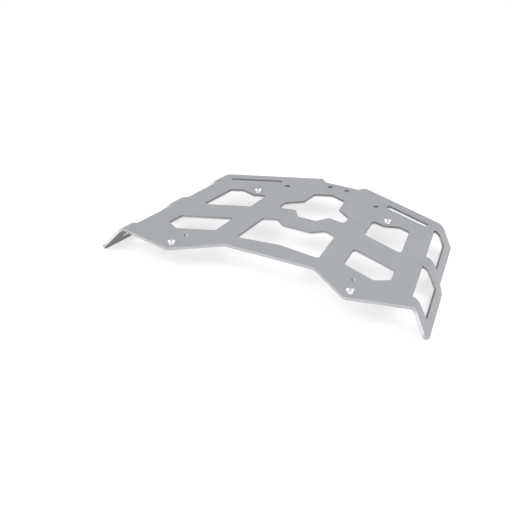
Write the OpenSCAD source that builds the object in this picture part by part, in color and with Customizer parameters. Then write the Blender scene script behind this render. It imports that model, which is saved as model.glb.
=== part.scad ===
// Luggage rack plate for the tail of a motorcycle: one sheet, cut to an outline with windows,
// strap slots and screw holes, with both long sides folded down.
// Lengths are in millimetres and angles in degrees. +X is to the right, -Y points at the seat
// and +Z is up. The outline is centred on x = 0, y = 0 and the folded sides stand on z = 0.
// Plan sizes are measured from the datum, the middle of the four countersunk holes.

/* [Sheet] */
// thickness of the sheet
sheet_t = 4; // [3:0.5:5]
// inside radius of the two folds
fold_r = 8; // [6:1:11]
// how far each side is folded down from the flat
fold_a = 56; // [48:1:64]

/* [Screw holes] */
// distance between the back and front rows of countersunk holes
screw_rows = 174; // [172:1:176]
// spacing of the back pair
back_screws = 184; // [180:1:186]
// spacing of the front pair
front_screws = 235; // [230:1:240]
// diameter of the four screw holes
screw_d = 6.6; // [6.2:0.1:7.4]
// diameter of their countersinks at the top face
sink_d = 12.4; // [11.6:0.1:13.4]
// included angle of the countersinks
sink_a = 90; // [88:1:100]

/* [Accessory holes] */
// diameter of the pair near the back corners of the middle window
side_hole_d = 6.6; // [5:0.1:8]
// spacing of that pair
side_holes = 127.2; // [116:1:132]
// distance of that pair behind the datum
side_hole_y = 116.7; // [112:1:122]
// diameter of the pair in the pocket of the back edge
tail_hole_d = 6.6; // [5:0.1:8]
// spacing of that pair
tail_holes = 24.2; // [20:1:30]
// distance of that pair behind the datum
tail_hole_y = 141.2; // [138:0.5:143]
// diameter of the small pair behind the front screw holes
small_hole_d = 5; // [3:0.1:6]
// spacing of that pair
small_holes = 222.4; // [214:1:228]
// distance of that pair ahead of the datum
small_hole_y = 63.7; // [62:0.5:68]

/* [Outline] */
// half width between the fold lines, level with the datum
fold_x = 170.4; // [168:0.5:174]
// angle at which the fold lines open towards the front
fold_turn = 11; // [10:0.5:12]
// angle at which the back edges and the windows sweep forward
sweep = 21.8; // [21:0.2:22.6]
// where the two swept back edges would meet, behind the datum
back_y = 173; // [170:0.5:176]
// half distance between the two corners beside the back pocket
ear_x = 31.5; // [28:0.5:36]
// depth of the back pocket
pocket_d = 8.2; // [5:0.5:10]
// distance of the straight front edge ahead of the datum
front_y = 60; // [57:0.5:63]
// half length of the straight front edge
front_x = 59.7; // [57:0.5:62]
// distance of the two front horns from the middle
horn_x = 115.5; // [113:0.5:118]
// angle of the horns' inner edges
horn_in_a = 37.1; // [36:0.2:38.4]
// angle of the horns' outer edges
horn_out_a = 13; // [11:0.5:15]
// rounding of the horns
horn_r = 10; // [6:1:14]
// rounding at the ends of the straight front edge
front_r = 14; // [8:1:20]
// rounding of the corners beside the back pocket
ear_r = 2.5; // [1:0.5:4]

/* [Side windows] */
// bar between the windows and the fold lines
side_bar = 30; // [27:0.5:33]
// distance of the windows' inner sides from the middle, level with the datum
inner_x = 82.8; // [81:0.5:84]
// angle at which those inner sides open towards the front
inner_turn = 5.4; // [4:0.2:6.4]
// where the back windows' back edges would cross the middle
back_win_y = 124.4; // [122:0.5:126]
// fore-and-aft length of the back windows
back_win_l = 51; // [48:0.5:53]
// fore-and-aft width of the bar between back and front windows
cross_bar = 36.5; // [34:0.5:38]
// fore-and-aft length of the front windows
front_win_l = 37.7; // [35:0.5:39]
// metal left ahead of each back screw hole's middle
boss = 12.6; // [11:0.2:14]
// angle of the two edges that run round that metal
boss_a = 17.5; // [14:0.5:20]
// distance of the front windows' points from their outer edges, along the front edges
toe_in = 21.8; // [19:0.2:24]
// angle of the edge from that point out to the side
toe_a = 29.7; // [26:0.5:33]
// rounding of the side windows' corners
win_r = 3; // [2:0.5:4]

/* [Middle windows] */
// width of the long bar between middle and side windows
spine_bar = 31; // [29:0.5:33]
// where the front window's back edges would cross the middle
mouth_y = 41.1; // [39:0.5:43]
// distance from the middle of the corners where those edges end
mouth_x = 33; // [31:0.5:35]
// distance of the front window's straight back edge behind the datum
lip_y = 16.7; // [14:0.5:19]
// half length of that straight edge
lip_x = 19.3; // [17:0.5:21]
// distance of the front window's front corners ahead of the datum
mouth_front_y = 37.9; // [36:0.5:40]
// how far that window's front edge rises to its middle
mouth_rise = 7.1; // [4:0.5:10]
// distance of the back window's point behind the datum
eye_y = 121.6; // [119:0.5:124]
// half width of the back window at its back corners
eye_x = 21.7; // [20:0.5:23]
// half width at its waist
waist_x = 24.7; // [23.5:0.1:26]
// distance of the waist behind the datum
waist_y = 88.2; // [86:0.5:91]
// angle of the back edges of its two fingers
finger_a = 37.1; // [35:0.5:39]
// length of the fingers' ends
finger_l = 17.4; // [14:0.5:20]
// distance from the middle of the corners where the fingers' front edges end
palm_x = 23.3; // [21:0.5:25]
// distance of those corners behind the datum
palm_y = 60.6; // [58:0.5:63]
// half length of the back window's straight front edge
eye_front_x = 12.5; // [10:0.5:15]
// distance of that edge behind the datum
eye_front_y = 45.5; // [43:0.5:48]
// rounding of the middle windows' corners
mid_r = 4; // [2:0.5:5]

/* [Strap slots] */
// bar outside the strap slots and below the windows in the folded sides
strap_bar = 12.5; // [10:0.5:14]
// width of the strap slots
slot_w = 7.4; // [5:0.2:9]
// length of the strap slots
slot_l = 67.5; // [55:0.5:74]
// distance of the slots' outer ends from the folds, measured along the slots
slot_in = 13.8; // [10:0.2:18]
// rounding of the slots' corners
slot_r = 2; // [1:0.5:2.5]

/* [Folded sides] */
// depth of the sides towards the back, measured over the sheet from the fold's start
side_back = 32; // [30:0.5:36]
// depth of the sides towards the front, measured the same way
side_front = 40.2; // [38:0.5:44]
// how far the deeper part starts behind the front side window, along the fold
step_lead = 2; // [0.5:0.5:4]
// length of the slanted step down to the deeper part
step_l = 12; // [9:0.5:15]
// how far round the fold the horns' outer edges run on before the sides' front edges start
front_run = 4.4; // [3:0.2:6]
// lean of the sides' front edges
tip_lean = 32.4; // [29:0.2:36]
// rounding of the tips
tip_r = 6.5; // [5:0.5:9]
// rounding of the sides' other corners
side_r = 5; // [3:0.5:7]
// how far the side windows reach in past the fold's start
side_win_in = 1.2; // [0.6:0.2:2]
// start of the back side window along the fold
side_win_1 = 22.5; // [20:0.5:24.5]
// its length along the fold
side_win_1_l = 67.4; // [64:0.5:70]
// lean of the back side window's front edge
side_win_1_lean = 18; // [12:0.5:21]
// bar in front of the front side window, along the fold
side_win_2_bar = 21.1; // [19.6:0.5:23]
// its length along the fold
side_win_2_l = 69.5; // [66:0.5:72]
// lean of the front side window's back edge
side_win_2_back = 27.5; // [24:0.5:31]
// lean of the front side window's front edge
side_win_2_lean = 25.5; // [20:0.5:28]
// rounding of the side windows' lower corners
side_win_r = 1.5; // [1:0.5:3]

/* [Hidden] */
$fn = 64;
// largest turn of one straight step round a corner
arc_step = 15;
// how far a cut runs past a face
over = 1;
// number of steps the cut edges take round the fold, before and after the horns' edges end
near_steps = 3;
far_steps = 5;
// length of the tongues that join the folds to the flat
tongue = 4;
// how far the folds' cut edges run on into the flat before the tongues narrow
lip = 1;
// how far the folds' cut edges lie inside the edges that they carry on
inset = 0.03;

outer_r = fold_r + sheet_t;
fold_len = outer_r * fold_a * PI / 180;
screw_y = screw_rows / 2;

// lines and corners in plan
function unit(v) = v / norm(v);
function flip(p) = [-p.x, p.y];
function backwards(l) = [for (i = [len(l) - 1:-1:0]) l[i]];
// where the line through p at angle a meets the line through q at angle b
function meet(p, a, q, b) =
    let (d = [cos(a), sin(a)], e = [cos(b), sin(b)], w = q - p)
    p + d * (w.x * e.y - w.y * e.x) / (d.x * e.y - d.y * e.x);
// points on the arc that rounds the corner p between its neighbours a and b
function corner(a, p, b, r) =
    let (
        u = unit(a - p),
        w = unit(b - p),
        half = acos(u * w) / 2,
        c = p + unit(u + w) * r / sin(half),
        s = p + u * r / tan(half) - c,
        e = p + w * r / tan(half) - c,
        start = atan2(s.y, s.x),
        turn = (atan2(e.y, e.x) - start + 540) % 360 - 180,
        n = max(2, ceil(abs(turn) / arc_step))
    )
    [for (i = [0:n]) c + r * [cos(start + turn * i / n), sin(start + turn * i / n)]];
// an outline of corners [point, radius] with every corner rounded
function rounded(l) =
    let (n = len(l))
    [for (i = [0:n - 1]) each corner(l[(i + n - 1) % n][0], l[i][0], l[(i + 1) % n][0], l[i][1])];
// a right half, its corners on the middle and the mirrored half
function both(right, mid) = concat(right, mid, [for (c = backwards(right)) [flip(c[0]), c[1]]]);

fold_dir = 90 + fold_turn;
// the back edge's and the horn's outer edge's points at distance d inside the fold line
function on_back(d) = meet([0, back_y], -sweep, [fold_x - d / cos(fold_turn), 0], fold_dir);
function on_front(d) = meet(horn, horn_out_a, [fold_x - d / cos(fold_turn), 0], fold_dir);
horn = [horn_x, -front_y - (horn_x - front_x) * tan(horn_in_a)];
fold_back = on_back(0);
fold_front = on_front(0);
fold_l = norm(fold_front - fold_back);
ear = [ear_x, back_y - ear_x * tan(sweep)];
pocket = [ear_x - pocket_d, ear.y - pocket_d];
// the flat ends inside the fold line, where the folds' tongues take over
right_edge = concat(
    corner([-front_x, -front_y], [front_x, -front_y], horn, front_r),
    corner([front_x, -front_y], horn, fold_front, horn_r),
    [on_front(lip / 2), on_back(lip / 2)],
    corner(fold_back, ear, pocket, ear_r),
    corner(ear, pocket, [0, pocket.y], ear_r)
);
plate = concat(right_edge, [for (p = backwards(right_edge)) flip(p)]);

mid_y = (max([for (p = plate) p.y]) + min([for (p = plate) p.y])) / 2;
top_z = outer_r * (1 - cos(fold_a)) + (side_front - fold_len) * sin(fold_a) + sheet_t * cos(fold_a);

// windows in the flat, right half
inner_dir = 90 + inner_turn;
inner_at = [inner_x, 0];
outer_at = [fold_x - side_bar / cos(fold_turn), 0];
spine_at = [inner_x - spine_bar / cos(inner_turn), 0];
boss_at = [back_screws / 2, screw_y - boss];

back_window = rounded([
    [meet(inner_at, inner_dir, [0, back_win_y - back_win_l], -sweep), win_r],
    [meet(outer_at, fold_dir, [0, back_win_y - back_win_l], -sweep), win_r],
    [meet(outer_at, fold_dir, [0, back_win_y], -sweep), win_r],
    [meet(boss_at, boss_a, [0, back_win_y], -sweep), win_r],
    [boss_at, win_r],
    [meet(boss_at, -boss_a, inner_at, inner_dir), win_r]
]);

front_win_y = back_win_y - back_win_l - cross_bar;
front_win_end = meet([0, front_win_y - front_win_l], -sweep, outer_at, fold_dir);
toe = front_win_end - toe_in * [cos(sweep), -sin(sweep)];
front_window = rounded([
    [meet(inner_at, inner_dir, toe, -sweep), win_r],
    [toe, win_r],
    [meet(outer_at, fold_dir, toe, toe_a), win_r],
    [meet(outer_at, fold_dir, [0, front_win_y], -sweep), win_r],
    [meet(inner_at, inner_dir, [0, front_win_y], -sweep), win_r]
]);

mouth_front = meet(spine_at, inner_dir, [0, -mouth_front_y], 0);
mouth_middle = [0, mouth_rise - mouth_front_y];
mouth = rounded(concat([[mouth_middle, mid_r]], both([
    [mouth_front, mid_r],
    [meet(spine_at, inner_dir, [0, mouth_y], -sweep), mid_r],
    [[mouth_x, mouth_y - mouth_x * tan(sweep)], mid_r],
    [[lip_x, lip_y], mid_r]
], [])));

finger_back = meet([waist_x, waist_y], -finger_a, spine_at, inner_dir);
finger_front = finger_back - finger_l * [cos(inner_dir), sin(inner_dir)];
eye = rounded(both([
    [[eye_front_x, eye_front_y], mid_r],
    [[palm_x, palm_y], mid_r],
    [finger_front, mid_r],
    [finger_back, mid_r],
    [[waist_x, waist_y], mid_r],
    [[eye_x, eye_y - eye_x * tan(sweep)], mid_r]
], [[[0, eye_y], mid_r]]));

// folded sides: u runs forward along the fold from its back end, v over the sheet
back_lean = sweep + fold_turn;
function lean(u, a, v) = [u + v * tan(a), v];
// the two windows: start and end along the fold, each with its lean, and the side's depth there
side_win_2 = fold_l - side_win_2_bar - side_win_2_l;
side_wins = [
    [side_win_1, back_lean, side_win_1 + side_win_1_l, side_win_1_lean, side_back],
    [side_win_2, side_win_2_back, side_win_2 + side_win_2_l, side_win_2_lean, side_front]
];
// the edges of the three webs that carry the side round the fold, back to front: start along
// the fold, lean up to front_run and lean beyond it
web_edges = [
    [0, back_lean, back_lean],
    [side_wins[0][0], side_wins[0][1], side_wins[0][1]],
    [side_wins[0][2], side_wins[0][3], side_wins[0][3]],
    [side_wins[1][0], side_wins[1][1], side_wins[1][1]],
    [side_wins[1][2], side_wins[1][3], side_wins[1][3]],
    [fold_l, fold_turn - horn_out_a, tip_lean]
];
function edge(e, v) = [e[0] + min(v, front_run) * tan(e[1]) + max(v - front_run, 0) * tan(e[2]), v];
step_back = [side_win_2 - step_lead, side_back];
step_front = [step_back.x + step_l, side_front];
side_tip = edge(web_edges[5], side_front);
side_heel = edge(web_edges[0], side_back);
side_outline = concat(
    [edge(web_edges[0], fold_len), edge(web_edges[5], fold_len)],
    corner(edge(web_edges[5], fold_len), side_tip, step_front, tip_r),
    corner(side_tip, step_front, step_back, side_r),
    corner(step_front, step_back, side_heel, side_r),
    corner(step_back, side_heel, [0, 0], side_r)
);
// a window's outline from level v0 down to the strap bar
function side_window(w, v0) =
    let (
        p = [lean(w[0], w[1], v0), lean(w[2], w[3], v0)],
        q = [lean(w[2], w[3], w[4] - strap_bar), lean(w[0], w[1], w[4] - strap_bar)]
    )
    concat(p, corner(p[1], q[0], q[1], side_win_r), corner(q[0], q[1], p[0], side_win_r));
// the point at u, v and height h above the top face, taken round the fold
function folded_point(p, h) =
    let (
        a = max(0, min(fold_a, p.y / fold_len * fold_a)),
        straight = min(p.y, 0) + max(p.y - fold_len, 0),
        r = outer_r + h
    )
    [r * sin(a) + straight * cos(a), -p.x, r * cos(a) - outer_r - straight * sin(a)];

module at_fold() {
    translate([fold_back.x, fold_back.y, 0])
        rotate([0, 0, fold_turn])
            children();
}

// the frame of a folded side's outer face, with -Y running forward along the fold
module at_side() {
    at_fold()
        translate([0, 0, -outer_r])
            rotate([0, fold_a, 0])
                translate([0, 0, outer_r])
                    children();
}

// the space between two web edges, from below the sheet to above it
module web_space(e, f) {
    function at_e(v) = edge(e, v) + [inset, 0];
    function at_f(v) = edge(f, v) - [inset, 0];
    past = fold_len + inset;
    levels = concat(
        [-over],
        [for (i = [0:near_steps - 1]) front_run * i / near_steps],
        [for (i = [0:far_steps]) front_run + (past - front_run) * i / far_steps],
        [fold_len + over]
    );
    last = len(levels) - 1;
    points = [for (v = levels) each [
        folded_point(at_e(v), -sheet_t - over),
        folded_point(at_f(v), -sheet_t - over),
        folded_point(at_f(v), over),
        folded_point(at_e(v), over)
    ]];
    walls = [for (i = [0:last - 1], k = [0:3])
        let (a = 4 * i + k, b = 4 * i + (k + 1) % 4)
        each [[a, b, a + 4], [b, b + 4, a + 4]]];
    polyhedron(points, concat([[3, 2, 1, 0]], walls, [[for (k = [0:3]) 4 * last + k]]));
}

// quarter of a tube between the flat's plane and the side's plane
module fold_ring() {
    long = fold_l + fold_len * tan(tip_lean) + over;
    intersection() {
        translate([0, over, -outer_r])
            rotate([90, 0, 0])
                difference() {
                    cylinder(h = long + over, r = outer_r);
                    translate([0, 0, -over])
                        cylinder(h = long + 3 * over, r = fold_r);
                }
        translate([0, -long, -outer_r])
            cube([2 * outer_r, long + over, 2 * outer_r]);
        translate([0, 0, -outer_r])
            rotate([0, fold_a, 0])
                translate([-2 * outer_r, -long, 0])
                    cube([2 * outer_r, long + over, 2 * outer_r]);
    }
}

// one web: the metal of the fold between edges e and f, with a tongue that lies in the flat
module web(e, f) {
    intersection() {
        fold_ring();
        web_space(e, f);
    }
    from = edge(e, -lip) + [inset, 0];
    to = edge(f, -lip) - [inset, 0];
    narrow = [tongue - lip, lip - tongue];
    translate([0, 0, -sheet_t])
        linear_extrude(sheet_t)
            polygon([for (p = [
                [e[0] + inset, 0],
                from,
                from + narrow,
                to - [narrow.x, -narrow.y],
                to,
                [f[0] - inset, 0]
            ]) [p.y, -p.x]]);
}

module side() {
    at_fold()
        for (i = [0:2:4])
            web(web_edges[i], web_edges[i + 1]);
    at_side()
        translate([0, 0, -sheet_t])
            difference() {
                linear_extrude(sheet_t)
                    polygon([for (p = side_outline) [p.y - fold_len, -p.x]]);
                translate([0, 0, -over])
                    linear_extrude(sheet_t + 2 * over)
                        for (w = side_wins)
                            polygon([for (p = side_window(w, fold_len - over)) [p.y - fold_len, -p.x]]);
            }
}

// the part of the side windows that reaches into the flat
module side_window_ends() {
    at_fold()
        translate([0, 0, -sheet_t - over])
            linear_extrude(sheet_t + 2 * over)
                for (w = side_wins)
                    polygon([for (p = [
                        lean(w[0], w[1], -side_win_in),
                        lean(w[2], w[3], -side_win_in),
                        lean(w[2], w[3], over),
                        lean(w[0], w[1], over)
                    ]) [p.y, -p.x]]);
}

module hole(x, y, d) {
    translate([x, y, -sheet_t - over])
        cylinder(h = sheet_t + 2 * over, d = d);
}

module sunk_hole(x, y) {
    hole(x, y, screw_d);
    deep = (sink_d - screw_d) / 2 / tan(sink_a / 2);
    grow = over * tan(sink_a / 2) * 2;
    translate([x, y, -deep])
        cylinder(h = deep + over, d1 = screw_d, d2 = sink_d + grow);
}

module strap_slot() {
    away = strap_bar + slot_w / 2;
    end = meet([0, back_y - away / cos(sweep)], -sweep, [fold_x, 0], fold_dir);
    middle = end - (slot_in + slot_l / 2) * [cos(sweep), -sin(sweep)];
    translate([middle.x, middle.y, -sheet_t - over])
        rotate([0, 0, -sweep])
            linear_extrude(sheet_t + 2 * over)
                polygon(rounded([for (c = [[-1, -1], [1, -1], [1, 1], [-1, 1]])
                    [[c.x * slot_l / 2, c.y * slot_w / 2], slot_r]]));
}

module right_cuts() {
    translate([0, 0, -sheet_t - over])
        linear_extrude(sheet_t + 2 * over) {
            polygon(back_window);
            polygon(front_window);
        }
    strap_slot();
    sunk_hole(back_screws / 2, screw_y);
    sunk_hole(front_screws / 2, -screw_y);
    hole(side_holes / 2, side_hole_y, side_hole_d);
    hole(tail_holes / 2, tail_hole_y, tail_hole_d);
    hole(small_holes / 2, -small_hole_y, small_hole_d);
    side_window_ends();
}

module flat_plate() {
    difference() {
        translate([0, 0, -sheet_t])
            linear_extrude(sheet_t)
                polygon(plate);
        translate([0, 0, -sheet_t - over])
            linear_extrude(sheet_t + 2 * over) {
                polygon(mouth);
                polygon(eye);
            }
        right_cuts();
        mirror([1, 0, 0])
            right_cuts();
    }
}

module rack_plate() {
    color([0.66, 0.67, 0.69])
        translate([0, -mid_y, top_z]) {
            flat_plate();
            side();
            mirror([1, 0, 0])
                side();
        }
}

rack_plate();
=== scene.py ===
"""Looks of a motorcycle luggage rack plate: one folded metal sheet on a pale studio floor.

The sheet is modelled as a fabricator makes it. A flat blank is cut to its outline, the windows,
slots and holes are cut through it, its edges are broken, and both long sides are folded down.
The plate's own sizes are in millimetres. Meshes, finishes and the studio are in metres, and
angles are in degrees.
"""

import logging
import math
from dataclasses import dataclass, field
from enum import Enum, IntEnum

import bpy
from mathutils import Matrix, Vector


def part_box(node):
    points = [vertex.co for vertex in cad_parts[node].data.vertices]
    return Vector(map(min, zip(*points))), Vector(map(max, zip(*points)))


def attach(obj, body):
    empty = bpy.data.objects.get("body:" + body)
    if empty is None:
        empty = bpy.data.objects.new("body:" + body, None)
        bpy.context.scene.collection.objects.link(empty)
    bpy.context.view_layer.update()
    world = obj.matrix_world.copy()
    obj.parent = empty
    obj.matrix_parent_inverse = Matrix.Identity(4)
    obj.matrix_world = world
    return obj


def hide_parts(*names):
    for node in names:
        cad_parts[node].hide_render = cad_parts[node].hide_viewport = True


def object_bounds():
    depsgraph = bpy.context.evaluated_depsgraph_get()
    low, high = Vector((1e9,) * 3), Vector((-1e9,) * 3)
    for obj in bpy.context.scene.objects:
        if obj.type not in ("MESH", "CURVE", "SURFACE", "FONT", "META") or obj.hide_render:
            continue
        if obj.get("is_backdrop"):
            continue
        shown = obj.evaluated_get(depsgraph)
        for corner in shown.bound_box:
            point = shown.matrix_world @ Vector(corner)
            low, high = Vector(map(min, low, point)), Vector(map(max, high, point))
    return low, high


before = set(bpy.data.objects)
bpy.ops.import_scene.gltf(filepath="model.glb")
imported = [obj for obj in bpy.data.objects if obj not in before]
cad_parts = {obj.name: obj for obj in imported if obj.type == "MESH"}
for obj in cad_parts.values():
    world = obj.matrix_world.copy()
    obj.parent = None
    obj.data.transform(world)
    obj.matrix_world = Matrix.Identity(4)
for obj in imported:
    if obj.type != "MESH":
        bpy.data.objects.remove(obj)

logging.basicConfig(level=logging.INFO, format="%(message)s")
log = logging.getLogger("rack")

MM = 0.001
NOISE_MEAN = 0.5  # the middle of a noise pattern
LEVEL_NORMAL = 0.5  # a face with more of its normal along Z than this lies flat
Point = tuple[float, float]
Outline = list[Point]
Colour = tuple[float, float, float]
Scale = tuple[float, float, float]


class Side(Enum):
    """The two folded sides, each with its sign along X."""

    RIGHT = 1
    LEFT = -1


class Surface(IntEnum):
    """The surfaces of the sheet, in the order of its material slots."""

    FACE = 0  # the flat top
    RIM = 1  # the outer cut edge, lighter than the face: painted light
    WALL = 2  # the upper band of a cut wall, darker: painted shade
    SINK = 3  # a countersink
    PAINTED_LIGHT = 4  # the lower band of a cut wall, pale: painted light
    CROSS = 5  # the upper band of a cut wall, where it's brighter: painted light
    BORE = 6  # the upper band of a drilled hole, darker: painted shade
    UNDER = 7  # the underside, darker: painted shade


def tan(angle: float) -> float:
    """Return the tangent of an angle in degrees."""
    return math.tan(math.radians(angle))


def cos(angle: float) -> float:
    """Return the cosine of an angle in degrees."""
    return math.cos(math.radians(angle))


def direction(angle: float) -> Vector:
    """Return the unit vector in plan at an angle in degrees from +X."""
    return Vector((math.cos(math.radians(angle)), math.sin(math.radians(angle))))


def meet(p: Point, a: float, q: Point, b: float) -> Point:
    """Find where two lines in plan cross.

    Args:
        p: A point on the first line.
        a: Angle of the first line.
        q: A point on the second line.
        b: Angle of the second line.

    Returns:
        The crossing point.
    """
    d, e, w = direction(a), direction(b), Vector(q) - Vector(p)
    reach = (w.x * e.y - w.y * e.x) / (d.x * e.y - d.y * e.x)
    return (p[0] + d.x * reach, p[1] + d.y * reach)


def round_corner(a: Point, p: Point, b: Point, radius: float, step: float = 7.5) -> Outline:
    """Round one corner of an outline.

    Args:
        a: The corner before.
        p: The corner to round.
        b: The corner after.
        radius: Radius of the rounding.
        step: Largest turn of one straight stretch of the arc.

    Returns:
        The points of the arc, in order from a's side to b's side.
    """
    u = (Vector(a) - Vector(p)).normalized()
    w = (Vector(b) - Vector(p)).normalized()
    half = math.acos(max(-1.0, min(1.0, u.dot(w)))) / 2
    centre = Vector(p) + (u + w).normalized() * radius / math.sin(half)
    start = Vector(p) + u * radius / math.tan(half) - centre
    end = Vector(p) + w * radius / math.tan(half) - centre
    first = math.atan2(start.y, start.x)
    turn = (math.atan2(end.y, end.x) - first + 3 * math.pi) % (2 * math.pi) - math.pi
    count = max(2, math.ceil(abs(math.degrees(turn)) / step))
    return [
        (
            centre.x + radius * math.cos(first + turn * i / count),
            centre.y + radius * math.sin(first + turn * i / count),
        )
        for i in range(count + 1)
    ]


def round_outline(corners: list[tuple[Point, float]]) -> Outline:
    """Round every corner of a closed outline.

    Args:
        corners: Each corner with its radius.

    Returns:
        The closed outline's points.
    """
    out: Outline = []
    for i, (p, radius) in enumerate(corners):
        before, after = corners[i - 1][0], corners[(i + 1) % len(corners)][0]
        out += round_corner(before, p, after, radius)
    return out


def mirrored(points: Outline) -> Outline:
    """Return an outline mirrored in the plane x = 0, its points in reverse order."""
    return [(-x, y) for x, y in reversed(points)]


class Value:
    """A node socket that can be used in Python arithmetic."""

    def __init__(self, finish: "NodeFinish", socket: bpy.types.NodeSocket) -> None:
        """Wrap a socket of a finish's node tree."""
        self.finish = finish
        self.socket = socket

    def _math(self, operation: str, *values: "Value | float") -> "Value":
        """Add one Math node and return its result."""
        inputs = {i: v for i, v in enumerate(values)}
        return self.finish.node("ShaderNodeMath", {"operation": operation}, inputs)

    def __add__(self, other: "Value | float") -> "Value":
        """Return the sum."""
        return self._math("ADD", self, other)

    __radd__ = __add__

    def __mul__(self, other: "Value | float") -> "Value":
        """Return the product."""
        return self._math("MULTIPLY", self, other)

    __rmul__ = __mul__

    def __sub__(self, other: "Value | float") -> "Value":
        """Return the difference."""
        return self._math("SUBTRACT", self, other)

    def __rsub__(self, other: "Value | float") -> "Value":
        """Return the difference from a number."""
        return self._math("SUBTRACT", other, self)


def weighed(patterns: tuple[Value, ...], shares: Scale) -> Value:
    """Add patterns together.

    Args:
        patterns: The patterns.
        shares: What each one is multiplied by first.

    Returns:
        The sum.
    """
    first, *rest = (p * share for p, share in zip(patterns, shares, strict=True))
    return sum(rest, first)


def shown(tree: bpy.types.NodeTree) -> bpy.types.NodeSocket:
    """Mark the rays that show the background: straight ones, mirrored ones and refracted ones.

    Args:
        tree: The node tree to add the test to.

    Returns:
        A socket that is 1 for those rays and 0 for all others.
    """
    path = tree.nodes.new("ShaderNodeLightPath")
    seen = path.outputs["Is Camera Ray"]
    for kind in ("Is Glossy Ray", "Is Transmission Ray"):
        either = tree.nodes.new("ShaderNodeMath")
        either.operation = "MAXIMUM"
        tree.links.new(seen, either.inputs[0])
        tree.links.new(path.outputs[kind], either.inputs[1])
        seen = either.outputs[0]
    return seen


class NodeFinish:
    """A material under construction, with one method that adds its nodes."""

    def __init__(self, name: str) -> None:
        """Make a material with nothing but a Principled BSDF and an output.

        Args:
            name: The material's name.
        """
        self.material = bpy.data.materials.new(name)
        self.material.use_nodes = True
        self.tree = self.material.node_tree
        self.tree.nodes.clear()
        self.shader = self.tree.nodes.new("ShaderNodeBsdfPrincipled")
        self.output = self.tree.nodes.new("ShaderNodeOutputMaterial")
        self.tree.links.new(self.shader.outputs[0], self.output.inputs["Surface"])

    def node(
        self,
        kind: str,
        settings: dict[str, object] | None = None,
        inputs: dict[int | str, object] | None = None,
        output: int | str = 0,
    ) -> Value:
        """Add a node.

        Args:
            kind: The node's type.
            settings: Properties to set first.
            inputs: Values or sockets by input name or index.
            output: The output to return.

        Returns:
            The wrapped output.
        """
        made = self.tree.nodes.new(kind)
        for key, value in (settings or {}).items():
            setattr(made, key, value)
        for key, value in (inputs or {}).items():
            self._feed(made.inputs[key], value)
        return Value(self, made.outputs[output])

    def _feed(self, socket: bpy.types.NodeSocket, value: object) -> None:
        """Link a wrapped socket, or set a constant.

        Args:
            socket: The input to feed.
            value: A wrapped socket or a constant.
        """
        if isinstance(value, Value):
            self.tree.links.new(value.socket, socket)
        else:
            socket.default_value = value

    def set(self, **inputs: object) -> None:
        """Feed the Principled BSDF.

        Args:
            **inputs: Values or sockets by input name, with underscores for its spaces.
        """
        for key, value in inputs.items():
            self._feed(self.shader.inputs[key.replace("_", " ")], value)

    def coordinates(self) -> Value:
        """Return the piece's own coordinates, in metres."""
        return self.node("ShaderNodeTexCoord", output="Object")

    def noise(self, where: Value, scale: float, detail: float = 2.0, rough: float = 0.5) -> Value:
        """Add a noise pattern.

        Args:
            where: The coordinates that it follows.
            scale: Its spots to the metre.
            detail: Its finer octaves.
            rough: How strong they are.

        Returns:
            A pattern of about 0 to 1.
        """
        return self.node(
            "ShaderNodeTexNoise",
            {"noise_dimensions": "3D"},
            {"Vector": where, "Scale": scale, "Detail": detail, "Roughness": rough},
        )

    def stretched(self, where: Value, scale: Scale) -> Value:
        """Return coordinates scaled along each axis."""
        return self.node("ShaderNodeMapping", {}, {"Vector": where, "Scale": scale})

    def blend(self, factor: Value, a: Colour, b: Colour) -> Value:
        """Mix two colours. A Mix node's colours are its inputs 6 and 7 and its output 2.

        Args:
            factor: The share of b.
            a: The colour at 0.
            b: The colour at 1.

        Returns:
            The mixed colour.
        """
        return self.node(
            "ShaderNodeMix",
            {"data_type": "RGBA", "clamp_factor": True},
            {0: factor, 6: (*a, 1.0), 7: (*b, 1.0)},
            output=2,
        )

    def bump(self, height: Value, strength: float, distance: float) -> Value:
        """Roughen the surface.

        Args:
            height: The height pattern.
            strength: How much of it shows.
            distance: Height of its full range.

        Returns:
            The normal.
        """
        return self.node(
            "ShaderNodeBump", {}, {"Height": height, "Strength": strength, "Distance": distance}
        )


@dataclass(frozen=True)
class SatinSheet:
    """The flat faces: silver, matt and even, with a very fine grain."""

    name: str = "satin_sheet"
    light: Colour = (0.403, 0.415, 0.439)
    dark: Colour = (0.337, 0.347, 0.369)
    metal: float = 0.55
    rough: float = 0.42
    grain: float = 2600.0
    pores: float = 520.0
    cloud: float = 22.0
    rolling: Scale = (60.0, 1400.0, 1400.0)
    tone_shares: Scale = (0.45, 0.35, 0.2)
    tone_low: float = 0.3
    tone_gain: float = 2.5
    rough_swings: Scale = (0.22, 0.12, 0.08)
    height_shares: Scale = (0.6, 0.3, 0.1)
    relief: float = 0.16
    depth: float = 0.00006

    def make(self) -> bpy.types.Material:
        """Build the material.

        Returns:
            The material.
        """
        f = NodeFinish(self.name)
        at = f.coordinates()
        grain = f.noise(at, self.grain, detail=3.0, rough=0.6)
        pores = f.noise(at, self.pores)
        rolled = f.noise(f.stretched(at, self.rolling), scale=1.0, detail=3.0)
        cloud = f.noise(at, self.cloud, detail=4.0, rough=0.55)
        tone = weighed((cloud, pores, rolled), self.tone_shares)
        swings = (grain - NOISE_MEAN, cloud - NOISE_MEAN, rolled - NOISE_MEAN)
        uneven = weighed(swings, self.rough_swings)
        height = weighed((grain, pores, rolled), self.height_shares)
        mix = (tone - self.tone_low) * self.tone_gain
        f.set(
            Base_Color=f.blend(mix, self.dark, self.light),
            Metallic=self.metal,
            Roughness=uneven + self.rough,
            Normal=f.bump(height, self.relief, self.depth),
        )
        return f.material


@dataclass(frozen=True)
class PaintedShadeUnderside(SatinSheet):
    """The underside: darker and duller than the top faces, its darker tone painted shade."""

    name: str = "painted_shade_underside"
    light: Colour = (0.228, 0.234, 0.247)
    dark: Colour = (0.181, 0.186, 0.198)
    rough: float = 0.46


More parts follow.
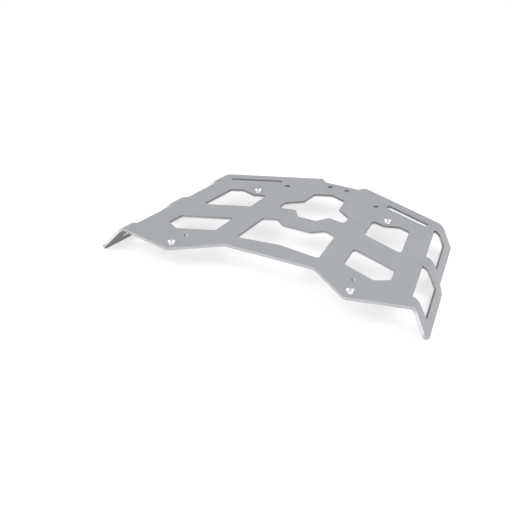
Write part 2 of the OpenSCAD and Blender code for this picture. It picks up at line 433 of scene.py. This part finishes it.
@dataclass(frozen=True)
class CutWall:
    """The upper band of the windows' and slots' walls: smooth and dark, painted shade."""

    name: str = "painted_shade_wall"
    light: Colour = (0.275, 0.279, 0.286)
    dark: Colour = (0.20, 0.203, 0.21)
    metal: float = 0.7
    rough: float = 0.34
    marks: Scale = (1500.0, 1500.0, 160.0)
    spots: float = 60.0
    mark_share: float = 0.6
    tone_low: float = 0.25
    tone_gain: float = 2.0
    uneven: float = 0.18
    relief: float = 0.2
    depth: float = 0.0001

    def make(self) -> bpy.types.Material:
        """Build the material, with fine marks across the sheet.

        Returns:
            The material.
        """
        f = NodeFinish(self.name)
        at = f.coordinates()
        marks = f.noise(f.stretched(at, self.marks), scale=1.0, rough=0.6)
        spots = f.noise(at, self.spots, detail=3.0)
        tone = marks * self.mark_share + spots * (1 - self.mark_share)
        mix = (tone - self.tone_low) * self.tone_gain
        f.set(
            Base_Color=f.blend(mix, self.dark, self.light),
            Metallic=self.metal,
            Roughness=(marks - NOISE_MEAN) * self.uneven + self.rough,
            Normal=f.bump(marks, self.relief, self.depth),
        )
        return f.material


@dataclass(frozen=True)
class CutRim(CutWall):
    """The outer cut edge, and the walls across the left side's windows: lighter than the face,
    painted light.
    """

    name: str = "painted_light_rim"
    light: Colour = (0.56, 0.565, 0.575)
    dark: Colour = (0.45, 0.455, 0.47)
    metal: float = 0.6
    rough: float = 0.36
    marks: Scale = (1800.0, 1800.0, 260.0)
    spots: float = 70.0
    mark_share: float = 0.5
    uneven: float = 0.2
    relief: float = 0.14
    depth: float = 0.00006


@dataclass(frozen=True)
class CrossWall(CutWall):
    """The upper band across the front windows, the right front fold window and the mouth: lighter
    than the other walls, painted light.
    """

    name: str = "painted_light_cross_wall"
    light: Colour = (0.41, 0.415, 0.425)
    dark: Colour = (0.31, 0.315, 0.325)


@dataclass(frozen=True)
class DrilledWall(CutWall):
    """The upper band of the round holes' walls: dark, painted shade."""

    name: str = "painted_shade_bore"
    light: Colour = (0.22, 0.223, 0.23)
    dark: Colour = (0.15, 0.153, 0.16)


@dataclass(frozen=True)
class PaintedLightWall(CutWall):
    """The lower band of all these walls, and the smallest holes: pale and matt, painted light."""

    name: str = "painted_light_wall"
    light: Colour = (0.93, 0.93, 0.93)
    dark: Colour = (0.80, 0.80, 0.80)
    metal: float = 0.0
    rough: float = 0.6


@dataclass(frozen=True)
class BareSink:
    """The countersinks: bare turned metal."""

    name: str = "turned_sink"
    light: Colour = (0.50, 0.50, 0.51)
    dark: Colour = (0.42, 0.42, 0.43)
    metal: float = 1.0
    rough: float = 0.3
    rings: Scale = (200.0, 200.0, 5200.0)
    uneven: float = 0.16
    relief: float = 0.12
    depth: float = 0.00005

    def make(self) -> bpy.types.Material:
        """Build the material, with turning rings round the cone.

        Returns:
            The material.
        """
        f = NodeFinish(self.name)
        rings = f.noise(f.stretched(f.coordinates(), self.rings), scale=1.0)
        f.set(
            Base_Color=f.blend(rings, self.dark, self.light),
            Metallic=self.metal,
            Roughness=(rings - NOISE_MEAN) * self.uneven + self.rough,
            Normal=f.bump(rings, self.relief, self.depth),
        )
        return f.material


@dataclass(frozen=True)
class Hole:
    """A pair of round holes, mirrored in x = 0.

    across is the bore, sink the width of a countersink, if there is one, and wall the surface
    of the bore where it faces forward or back.
    """

    spacing: float
    y: float
    across: float
    sink: float = 0.0
    wall: Surface = Surface.BORE


@dataclass
class RackPlate:
    """The folded rack plate, with the sizes of the sheet that it is cut from.

    Plan sizes are measured from the datum, the middle of the four countersunk holes. u runs
    forward along a fold line from its back end and v outward over the unfolded sheet.
    """

    # the sheet and its folds
    sheet: float = 4.0
    fold_r: float = 8.0
    fold_a: float = 56.0
    fold_x: float = 170.4
    fold_turn: float = 11.0
    # the outline of the flat
    sweep: float = 21.8
    back_y: float = 173.0
    ear_x: float = 31.5
    pocket_d: float = 8.2
    front_y: float = 60.0
    front_x: float = 59.7
    horn_x: float = 115.5
    horn_in_a: float = 37.1
    horn_out_a: float = 13.0
    horn_r: float = 10.0
    front_r: float = 14.0
    ear_r: float = 2.5
    # the side windows
    side_bar: float = 30.0
    inner_x: float = 82.8
    inner_turn: float = 5.4
    back_win_y: float = 124.4
    back_win_l: float = 51.0
    cross_bar: float = 36.5
    front_win_l: float = 37.7
    boss: Point = (92.0, 74.4)
    boss_a: float = 17.5
    toe_in: float = 21.8
    toe_a: float = 29.7
    win_r: float = 3.0
    # the mouth and the eye, the windows on the middle line
    spine_bar: float = 31.0
    mouth_y: float = 41.1
    mouth_x: float = 33.0
    lip: Point = (19.3, 16.7)
    mouth_front_y: float = 37.9
    mouth_rise: float = 7.1
    eye_y: float = 121.6
    eye_x: float = 21.7
    waist: Point = (24.7, 88.2)
    finger_a: float = 37.1
    finger_l: float = 17.4
    palm: Point = (23.3, 60.6)
    eye_front: Point = (12.5, 45.5)
    mid_r: float = 4.0
    # the strap slots
    strap_bar: float = 12.5
    slot_w: float = 7.4
    slot_l: float = 67.5
    slot_in: float = 13.8
    slot_r: float = 2.0
    # the folded sides and the windows that run round the folds
    side_back: float = 32.0
    side_front: float = 40.2
    step_lead: float = 2.0
    step_l: float = 12.0
    front_run: float = 4.4
    tip_lean: float = 32.4
    tip_r: float = 6.5
    side_r: float = 5.0
    side_win_in: float = 1.2
    side_win_1: float = 22.5
    side_win_1_l: float = 67.4
    side_win_1_lean: float = 18.0
    side_win_2_bar: float = 21.1
    side_win_2_l: float = 69.5
    side_win_2_back: float = 27.5
    side_win_2_lean: float = 25.5
    side_win_r: float = 1.5
    side_win_in_r: float = 0.6
    # cutting, folding and shading
    cutter_over: float = 1.0
    sink_over: float = 0.6
    bore_sides: int = 48
    sink_sides: int = 64
    upper_band: float = 2.6
    fold_steps: int = 16
    edge_break: float = 0.35
    edge_steps: int = 2
    edge_angle: float = 38.0
    smooth_angle: float = 32.0
    even_weight: int = 60
    holes: list[Hole] = field(
        default_factory=lambda: [
            Hole(184.0, 87.0, 6.6, 12.4),
            Hole(235.0, -87.0, 6.6, 12.4),
            Hole(127.2, 116.7, 6.6),
            Hole(24.2, 141.2, 6.6),
            # the small front holes' front and back walls are painted light
            Hole(222.4, -63.7, 5.0, wall=Surface.PAINTED_LIGHT),
        ]
    )

    def __post_init__(self) -> None:
        """Work out the points that several outlines share."""
        self.outer_r = self.fold_r + self.sheet
        self.fold_len = self.outer_r * math.radians(self.fold_a)
        self.fold_dir = 90 + self.fold_turn
        horn_out = (self.horn_x - self.front_x) * tan(self.horn_in_a)
        self.horn = (self.horn_x, -self.front_y - horn_out)
        self.ear = (self.ear_x, self.back_y - self.ear_x * tan(self.sweep))
        fold_at = (self.fold_x, 0.0)
        self.fold_back = Vector(meet((0, self.back_y), -self.sweep, fold_at, self.fold_dir))
        self.fold_front = Vector(meet(self.horn, self.horn_out_a, fold_at, self.fold_dir))
        self.fold_l = (self.fold_front - self.fold_back).length
        self.side_win_2 = self.fold_l - self.side_win_2_bar - self.side_win_2_l
        self.along = -direction(self.fold_dir)
        self.outward = direction(self.fold_turn)
        self.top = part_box("rack_plate")[1].z / MM
        ys = [p[1] for p in self.outline()]
        self.mid_y = (max(ys) + min(ys)) / 2

    def unfolded(self, u: float, v: float) -> Point:
        """Find a plan point on the right side of the unfolded sheet.

        Args:
            u: Distance forward along the fold.
            v: Distance outward from the fold.

        Returns:
            The point.
        """
        p = self.fold_back + self.along * u + self.outward * v
        return (p.x, p.y)

    def leaning(self, u: float, lean: float, v: float) -> Point:
        """Return the point at depth v on a line that leaves the fold at u and leans forward."""
        return self.unfolded(u + v * tan(lean), v)

    def outline(self) -> Outline:
        """Lay out the whole unfolded sheet.

        Returns:
            Its outline.
        """
        back_lean = self.sweep + self.fold_turn
        pocket = (self.ear_x - self.pocket_d, self.ear[1] - self.pocket_d)
        front = (self.front_x, -self.front_y)
        corner_b = (self.fold_back.x, self.fold_back.y)
        run_u = self.fold_l - self.front_run * tan(self.horn_out_a - self.fold_turn)
        corner_f = self.unfolded(run_u, self.front_run)
        tip_u = run_u + (self.side_front - self.front_run) * tan(self.tip_lean)
        tip = self.unfolded(tip_u, self.side_front)
        heel = self.leaning(0, back_lean, self.side_back)
        step_u = self.side_win_2 - self.step_lead
        step_f = self.unfolded(step_u + self.step_l, self.side_front)
        step_b = self.unfolded(step_u, self.side_back)
        right = (
            round_corner((-self.front_x, -self.front_y), front, self.horn, self.front_r)
            + round_corner(front, self.horn, corner_f, self.horn_r)
            + [corner_f]
            + round_corner(corner_f, tip, step_f, self.tip_r)
            + round_corner(tip, step_f, step_b, self.side_r)
            + round_corner(step_f, step_b, heel, self.side_r)
            + round_corner(step_b, heel, corner_b, self.side_r)
            + round_corner(corner_b, self.ear, pocket, self.ear_r)
            + round_corner(self.ear, pocket, (0, pocket[1]), self.ear_r)
        )
        return right + mirrored(right)

    def side_windows(self) -> list[Outline]:
        """Lay out the right half's windows.

        Returns:
            The outlines of the back and front windows in the flat, then of the back and front
            windows round the fold.
        """
        inner = (self.inner_x, 0.0)
        outer = (self.fold_x - self.side_bar / cos(self.fold_turn), 0.0)
        inner_dir = 90 + self.inner_turn
        back_low = (0.0, self.back_win_y - self.back_win_l)
        back_high = (0.0, self.back_win_y)
        front_y = back_low[1] - self.cross_bar
        end = meet((0.0, front_y - self.front_win_l), -self.sweep, outer, self.fold_dir)
        toe = tuple(Vector(end) - direction(-self.sweep) * self.toe_in)
        back = [
            meet(inner, inner_dir, back_low, -self.sweep),
            meet(outer, self.fold_dir, back_low, -self.sweep),
            meet(outer, self.fold_dir, back_high, -self.sweep),
            meet(self.boss, self.boss_a, back_high, -self.sweep),
            self.boss,
            meet(self.boss, -self.boss_a, inner, inner_dir),
        ]
        front = [
            meet(inner, inner_dir, toe, -self.sweep),
            toe,
            meet(outer, self.fold_dir, toe, self.toe_a),
            meet(outer, self.fold_dir, (0.0, front_y), -self.sweep),
            meet(inner, inner_dir, (0.0, front_y), -self.sweep),
        ]
        windows = [round_outline([(p, self.win_r) for p in w]) for w in (back, front)]
        back_lean = self.sweep + self.fold_turn
        first, second = self.side_win_1, self.side_win_2
        ends = [
            (first, back_lean, self.side_back),
            (first + self.side_win_1_l, self.side_win_1_lean, self.side_back),
            (second, self.side_win_2_back, self.side_front),
            (second + self.side_win_2_l, self.side_win_2_lean, self.side_front),
        ]
        for (u_b, lean_b, depth), (u_f, lean_f, _) in (ends[:2], ends[2:]):
            low, high = depth - self.strap_bar, -self.side_win_in
            rounded = [
                (self.leaning(u_b, lean_b, high), self.side_win_in_r),
                (self.leaning(u_b, lean_b, low), self.side_win_r),
                (self.leaning(u_f, lean_f, low), self.side_win_r),
                (self.leaning(u_f, lean_f, high), self.side_win_in_r),
            ]
            windows.append(round_outline(rounded))
        return windows

    def strap_slot(self) -> Outline:
        """Lay out the right strap slot.

        Returns:
            Its outline.
        """
        away = (self.strap_bar + self.slot_w / 2) / cos(self.sweep)
        run, rise = direction(-self.sweep), direction(90 - self.sweep)
        end = meet((0, self.back_y - away), -self.sweep, (self.fold_x, 0), self.fold_dir)
        centre = Vector(end) - run * (self.slot_in + self.slot_l / 2)
        rounded = []
        for i, j in ((-1, -1), (1, -1), (1, 1), (-1, 1)):
            p = centre + run * i * self.slot_l / 2 + rise * j * self.slot_w / 2
            rounded.append(((p.x, p.y), self.slot_r))
        return round_outline(rounded)

    def middle_windows(self) -> list[Outline]:
        """Lay out the two windows on the middle line.

        Returns:
            The outlines of the mouth and the eye.
        """
        spine = (self.inner_x - self.spine_bar / cos(self.inner_turn), 0.0)
        spine_dir = 90 + self.inner_turn
        mouth = [
            meet(spine, spine_dir, (0, -self.mouth_front_y), 0),
            meet(spine, spine_dir, (0, self.mouth_y), -self.sweep),
            (self.mouth_x, self.mouth_y - self.mouth_x * tan(self.sweep)),
            self.lip,
        ]
        mouth = [(0.0, self.mouth_rise - self.mouth_front_y)] + mouth + mirrored(mouth)
        finger_back = Vector(meet(self.waist, -self.finger_a, spine, spine_dir))
        finger_front = finger_back - direction(spine_dir) * self.finger_l
        eye = [
            self.eye_front,
            self.palm,
            (finger_front.x, finger_front.y),
            (finger_back.x, finger_back.y),
            self.waist,
            (self.eye_x, self.eye_y - self.eye_x * tan(self.sweep)),
        ]
        eye = eye + [(0.0, self.eye_y)] + mirrored(eye)
        return [round_outline([(p, self.mid_r) for p in w]) for w in (mouth, eye)]

    def place(self, obj: bpy.types.Object, points: Outline, z: float) -> None:
        """Move a circle's vertices to an outline.

        Args:
            obj: A flat circle with as many vertices as the outline has points.
            points: The outline, from the datum, in millimetres.
            z: Height of the outline from the top face, in millimetres.
        """
        for vertex, (x, y) in zip(obj.data.vertices, points, strict=True):
            vertex.co = (x * MM, (y - self.mid_y) * MM, (self.top + z) * MM)

    def prism(
        self, points: Outline, low: float, high: float, surface: Surface
    ) -> bpy.types.Object:
        """Extrude an outline into a solid.

        Args:
            points: The outline.
            low: Bottom of the solid, from the top face.
            high: Top of the solid, from the top face.
            surface: The surface that its faces leave on the sheet.

        Returns:
            The solid.
        """
        bpy.ops.object.select_all(action="DESELECT")
        bpy.ops.mesh.primitive_circle_add(vertices=len(points), fill_type="NGON")
        obj = bpy.context.object
        self.place(obj, points, low)
        bpy.ops.object.mode_set(mode="EDIT")
        bpy.ops.mesh.select_all(action="SELECT")
        bpy.ops.mesh.extrude_region_move(
            TRANSFORM_OT_translate={"value": (0, 0, (high - low) * MM)}
        )
        bpy.ops.mesh.select_all(action="SELECT")
        bpy.ops.mesh.normals_make_consistent(inside=False)
        bpy.ops.object.mode_set(mode="OBJECT")
        self.slots(obj, surface)
        return obj

    def bore_plug(self, x: float, hole: Hole) -> bpy.types.Object:
        """Model the plug that a plain round hole leaves room for.

        Args:
            x: The hole's distance from the middle.
            hole: The hole's sizes.

        Returns:
            The plug.
        """
        r = hole.across / 2
        turns = [2 * math.pi * i / self.bore_sides for i in range(self.bore_sides)]
        ring = [(x + r * math.cos(t), hole.y + r * math.sin(t)) for t in turns]
        plug = self.prism(ring, -self.sheet - self.cutter_over, self.cutter_over, Surface.BORE)
        self.dress_across(plug, hole.wall)
        return plug

    def sink_plug(self, x: float, hole: Hole) -> bpy.types.Object:
        """Model the plug that a countersunk hole leaves room for.

        Args:
            x: The hole's distance from the middle.
            hole: The hole's sizes.

        Returns:
            The plug: a shank that is extruded, widened to the cone and extruded again.
        """
        deep = (hole.sink - hole.across) / 2
        shank = self.sheet + self.cutter_over - deep
        cone = deep + self.sink_over
        wide = (hole.sink + 2 * self.sink_over) / hole.across
        foot = self.top - self.sheet - self.cutter_over
        at = Vector((x * MM, (hole.y - self.mid_y) * MM, foot * MM))
        bpy.ops.object.select_all(action="DESELECT")
        bpy.ops.mesh.primitive_circle_add(
            vertices=self.sink_sides, radius=hole.across / 2 * MM, fill_type="NGON", location=at
        )
        obj = bpy.context.object
        bpy.ops.object.transform_apply(location=True, rotation=True, scale=True)
        bpy.ops.object.mode_set(mode="EDIT")
        bpy.ops.mesh.select_all(action="SELECT")
        for length in (shank, cone):
            bpy.ops.mesh.extrude_region_move(
                TRANSFORM_OT_translate={"value": (0, 0, length * MM)}
            )
        bpy.ops.transform.resize(
            value=(wide, wide, 1),
            center_override=(at.x, at.y, (self.top + self.sink_over) * MM),
        )
        bpy.ops.mesh.select_all(action="SELECT")
        bpy.ops.mesh.normals_make_consistent(inside=False)
        bpy.ops.object.mode_set(mode="OBJECT")
        self.slots(obj, Surface.SINK)
        for face in obj.data.polygons:
            if face.center.z < (self.top - deep) * MM:
                face.material_index = Surface.BORE
        return obj

    def slots(self, obj: bpy.types.Object, surface: Surface) -> None:
        """Give a solid the sheet's material slots.

        Args:
            obj: The solid.
            surface: The one surface that all its faces get.
        """
        for material in self.materials:
            obj.data.materials.append(material)
        for face in obj.data.polygons:
            face.material_index = surface

    def dress_across(self, obj: bpy.types.Object, surface: Surface) -> None:
        """Make a cutter leave a surface of its own where its walls face forward or back.

        Args:
            obj: The cutter.
            surface: The surface that those walls leave on the sheet.
        """
        for face in obj.data.polygons:
            if abs(face.normal.x) < abs(face.normal.y):
                face.material_index = surface

    def cutters(self) -> bpy.types.Object:
        """Model everything that is cut out of the sheet.

        Returns:
            All the cutters, as one object.
        """
        back, front, fold_back, fold_front = self.side_windows()
        mouth, eye = self.middle_windows()
        slot = self.strap_slot()
        # an opening's walls take the darker painted shade, and those facing forward or back the
        # surface it is listed under
        across = {
            Surface.WALL: [back, mirrored(back), slot, mirrored(slot), eye, fold_back],
            # the front windows', the mouth's and the right front fold window's forward and back
            # walls take painted light
            Surface.CROSS: [front, mirrored(front), mouth, fold_front],
            # the left fold windows' forward and back walls take the rim's painted light
            Surface.RIM: [mirrored(fold_back), mirrored(fold_front)],
        }
        low, high = -self.sheet - self.cutter_over, self.cutter_over
        made = []
        for surface, openings in across.items():
            for opening in openings:
                made.append(self.prism(opening, low, high, Surface.WALL))
                self.dress_across(made[-1], surface)
        for hole in self.holes:
            plug = self.sink_plug if hole.sink else self.bore_plug
            made += [plug(side.value * hole.spacing / 2, hole) for side in Side]
        bpy.ops.object.select_all(action="DESELECT")
        for obj in made:
            obj.select_set(True)
        bpy.context.view_layer.objects.active = made[0]
        bpy.ops.object.join()
        return bpy.context.object

    def blank(self) -> bpy.types.Object:
        """Model the unfolded sheet, before anything is cut from it.

        Returns:
            The sheet, with its top, rim and underside in slots of their own.
        """
        obj = self.prism(self.outline(), -self.sheet, 0.0, Surface.RIM)
        for face in obj.data.polygons:
            # the underside gets the darker tone, painted shade
            if abs(face.normal.z) > LEVEL_NORMAL:
                face.material_index = Surface.FACE if face.normal.z > 0 else Surface.UNDER
        obj.name = obj.data.name = "folded_sheet"
        return obj

    def take(self, sheet: bpy.types.Object) -> None:
        """Select the sheet alone, for the next operation on it.

        Args:
            sheet: The sheet.
        """
        bpy.ops.object.select_all(action="DESELECT")
        sheet.select_set(True)
        bpy.context.view_layer.objects.active = sheet

    def cut(self, sheet: bpy.types.Object) -> None:
        """Cut the windows, slots and holes through the sheet.

        Args:
            sheet: The blank.
        """
        tool = self.cutters()
        self.take(sheet)
        cut = sheet.modifiers.new("cut", "BOOLEAN")
        cut.operation = "DIFFERENCE"
        cut.solver = "EXACT"
        cut.object = tool
        bpy.ops.object.modifier_apply(modifier=cut.name)
        bpy.data.objects.remove(tool)

    def band(self, sheet: bpy.types.Object) -> None:
        """Divide the cut walls into an upper band and a lower band, which takes the pale painted
        light.

        Args:
            sheet: The cut sheet.
        """
        level = (self.top - self.upper_band) * MM
        walls = (Surface.WALL, Surface.CROSS, Surface.BORE)
        self.take(sheet)
        bpy.ops.object.mode_set(mode="EDIT")
        bpy.ops.mesh.select_all(action="SELECT")
        bpy.ops.mesh.bisect(plane_co=(0, 0, level), plane_no=(0, 0, 1))
        bpy.ops.object.mode_set(mode="OBJECT")
        for face in sheet.data.polygons:
            if face.material_index in walls and face.center.z < level:
                face.material_index = Surface.PAINTED_LIGHT

    def score(self, sheet: bpy.types.Object) -> None:
        """Divide the sheet across both folds, so that it can turn there.

        Args:
            sheet: The cut sheet.
        """
        self.take(sheet)
        bpy.ops.object.mode_set(mode="EDIT")
        for side in Side:
            for i in range(self.fold_steps + 1):
                v = self.fold_len * i / self.fold_steps
                x, y = self.unfolded(0, v)
                bpy.ops.mesh.select_all(action="SELECT")
                bpy.ops.mesh.bisect(
                    plane_co=(side.value * x * MM, (y - self.mid_y) * MM, 0),
                    plane_no=(side.value * self.outward.x, self.outward.y, 0),
                )
        bpy.ops.object.mode_set(mode="OBJECT")

    def break_edges(self, sheet: bpy.types.Object) -> None:
        """Round every cut edge a little.

        Args:
            sheet: The cut sheet, still flat.
        """
        bevel = sheet.modifiers.new("edge_break", "BEVEL")
        bevel.width = self.edge_break * MM
        bevel.segments = self.edge_steps
        bevel.limit_method = "ANGLE"
        bevel.angle_limit = math.radians(self.edge_angle)
        bevel.use_clamp_overlap = False
        bevel.miter_outer = "MITER_ARC"
        bpy.ops.object.modifier_apply(modifier=bevel.name)

    def fold(self, sheet: bpy.types.Object) -> None:
        """Turn both sides down round their fold lines.

        Args:
            sheet: The cut sheet, still flat.
        """
        most = math.radians(self.fold_a)
        for vertex in sheet.data.vertices:
            x, y = vertex.co.x / MM, vertex.co.y / MM + self.mid_y
            sign = 1 if x > 0 else -1
            away = Vector((abs(x), y)) - self.fold_back
            u, v = away.dot(self.along), away.dot(self.outward)
            if v <= 0:
                continue
            turn = min(most, v / self.outer_r)
            straight = max(0.0, v - self.fold_len)
            r = self.outer_r + vertex.co.z / MM - self.top
            out = r * math.sin(turn) + straight * math.cos(turn)
            drop = r * math.cos(turn) - self.outer_r - straight * math.sin(turn)
            p = self.fold_back + self.along * u + self.outward * out
            vertex.co = (sign * p.x * MM, (p.y - self.mid_y) * MM, (self.top + drop) * MM)
        sheet.data.update()

    def smooth(self, sheet: bpy.types.Object) -> None:
        """Shade the folds and the broken edges smooth, with the flats left flat.

        Args:
            sheet: The folded sheet.
        """
        bpy.ops.object.shade_smooth_by_angle(angle=math.radians(self.smooth_angle))
        even = sheet.modifiers.new("even", "WEIGHTED_NORMAL")
        even.mode = "FACE_AREA"
        even.weight = self.even_weight
        even.keep_sharp = True
        bpy.ops.object.modifier_apply(modifier=even.name)

    def build(self) -> bpy.types.Object:
        """Model and finish the plate.

        Returns:
            The finished piece, which stands for the frame's own plate.
        """
        finishes = (
            SatinSheet(),
            CutRim(),
            CutWall(),
            BareSink(),
            PaintedLightWall(),
            CrossWall(),
            DrilledWall(),
            PaintedShadeUnderside(),
        )
        self.materials = [f.make() for f in finishes]
        sheet = self.blank()
        self.cut(sheet)
        self.band(sheet)
        self.score(sheet)
        self.break_edges(sheet)
        self.fold(sheet)
        self.smooth(sheet)
        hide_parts("rack_plate")
        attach(sheet, "root")
        log.info("%s: %d faces", sheet.name, len(sheet.data.polygons))
        return sheet


@dataclass(frozen=True)
class Lamp:
    """A square soft lamp that points at the origin, under the middle of the plate."""

    name: str
    at: tuple[float, float, float]
    size: float
    power: float

    def hang(self) -> None:
        """Hang the lamp at its place and turn it to the origin."""
        data = bpy.data.lights.new(self.name, "AREA")
        data.shape = "SQUARE"
        data.size = self.size
        data.energy = self.power
        obj = bpy.data.objects.new(self.name, data)
        bpy.context.scene.collection.objects.link(obj)
        obj.location = self.at
        obj.rotation_euler = Vector(self.at).to_track_quat("Z", "Y").to_euler()


@dataclass
class Studio:
    """A white floor under a soft sky, two side lamps, a low front card and the camera."""

    floor_size: float = 14.0
    floor_colour: Colour = (0.86, 0.86, 0.86)
    floor_rough: float = 0.9
    floor_lift: float = 0.4
    floor_glow: float = 1.7
    sky: float = 0.5
    lamps: tuple[Lamp, ...] = (
        Lamp("right_lamp", (0.857, 0.151, 0.966), 0.8, 6.4),
        Lamp("left_lamp", (-0.920, -0.970, 1.486), 1.15, 12.0),
        Lamp("front_card", (-0.68, -1.85, 0.72), 1.4, 8.0),
    )
    aim: tuple[float, float, float] = (-0.0117, -0.0975, 0.03113)
    azimuth: float = 28.334
    elevation: float = 29.851
    distance: float = 1.2
    lens: float = 71.69
    film: float = 36.0
    near: float = 0.01

    def floor(self) -> None:
        """Lay the floor, lifted to white where the eye sees it and plain where light falls."""
        bpy.ops.object.select_all(action="DESELECT")
        bpy.ops.mesh.primitive_plane_add(size=self.floor_size, location=(0, 0, 0))
        obj = bpy.context.object
        obj.name = "studio_floor"
        f = NodeFinish("studio_white")
        f.set(
            Base_Color=(*self.floor_colour, 1.0),
            Roughness=self.floor_rough,
            Specular_IOR_Level=0.0,
        )
        lift = Value(f, shown(f.tree)) * self.floor_lift
        own = Value(f, f.shader.outputs[0])
        glow = {"Color": (1.0, 1.0, 1.0, 1.0), "Strength": self.floor_glow}
        white = f.node("ShaderNodeEmission", {}, glow)
        both = f.node("ShaderNodeMixShader", {}, {0: lift, 1: own, 2: white})
        f.tree.links.new(both.socket, f.output.inputs["Surface"])
        obj.data.materials.append(f.material)
        obj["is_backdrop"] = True

    def world(self) -> None:
        """Make the sky: plain white to the eye and softer as a light."""
        world = bpy.data.worlds.new("studio_sky")
        bpy.context.scene.world = world
        world.use_nodes = True
        tree = world.node_tree
        level = tree.nodes.new("ShaderNodeMapRange")
        level.inputs["To Min"].default_value = self.sky
        level.inputs["To Max"].default_value = 1.0
        tree.links.new(shown(tree), level.inputs["Value"])
        back = tree.nodes["Background"]
        tree.links.new(level.outputs[0], back.inputs["Strength"])
        back.inputs["Color"].default_value = (1.0, 1.0, 1.0, 1.0)

    def camera(self) -> None:
        """Set the camera at the photograph's viewing angle."""
        a, e = math.radians(self.azimuth), math.radians(self.elevation)
        back = Vector((math.sin(a) * math.cos(e), -math.cos(a) * math.cos(e), math.sin(e)))
        data = bpy.data.cameras.new("photo_camera")
        data.sensor_width = self.film
        data.lens = self.lens
        data.clip_start = self.near
        obj = bpy.data.objects.new("photo_camera", data)
        bpy.context.scene.collection.objects.link(obj)
        obj.location = Vector(self.aim) + back * self.distance
        obj.rotation_euler = back.to_track_quat("Z", "Y").to_euler()
        bpy.context.scene.camera = obj

    def build(self) -> None:
        """Build the floor, the light and the camera."""
        self.floor()
        self.world()
        for lamp in self.lamps:
            lamp.hang()
        self.camera()
        bpy.context.scene.view_settings.view_transform = "Standard"
        log.info("studio ready")


def corners(bounds: tuple) -> list[list[float]]:
    """Return a pair of corners as plain lists."""
    return [[float(v) for v in corner] for corner in bounds]


def main() -> None:
    """Build the studio and the plate, and note the sizes before and after."""
    sizes = {"cad": corners(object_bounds())}
    Studio().build()
    RackPlate().build()
    sizes["visual"] = corners(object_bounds())
    log.info("sizes %s", sizes)


if __name__ == "__main__":
    main()
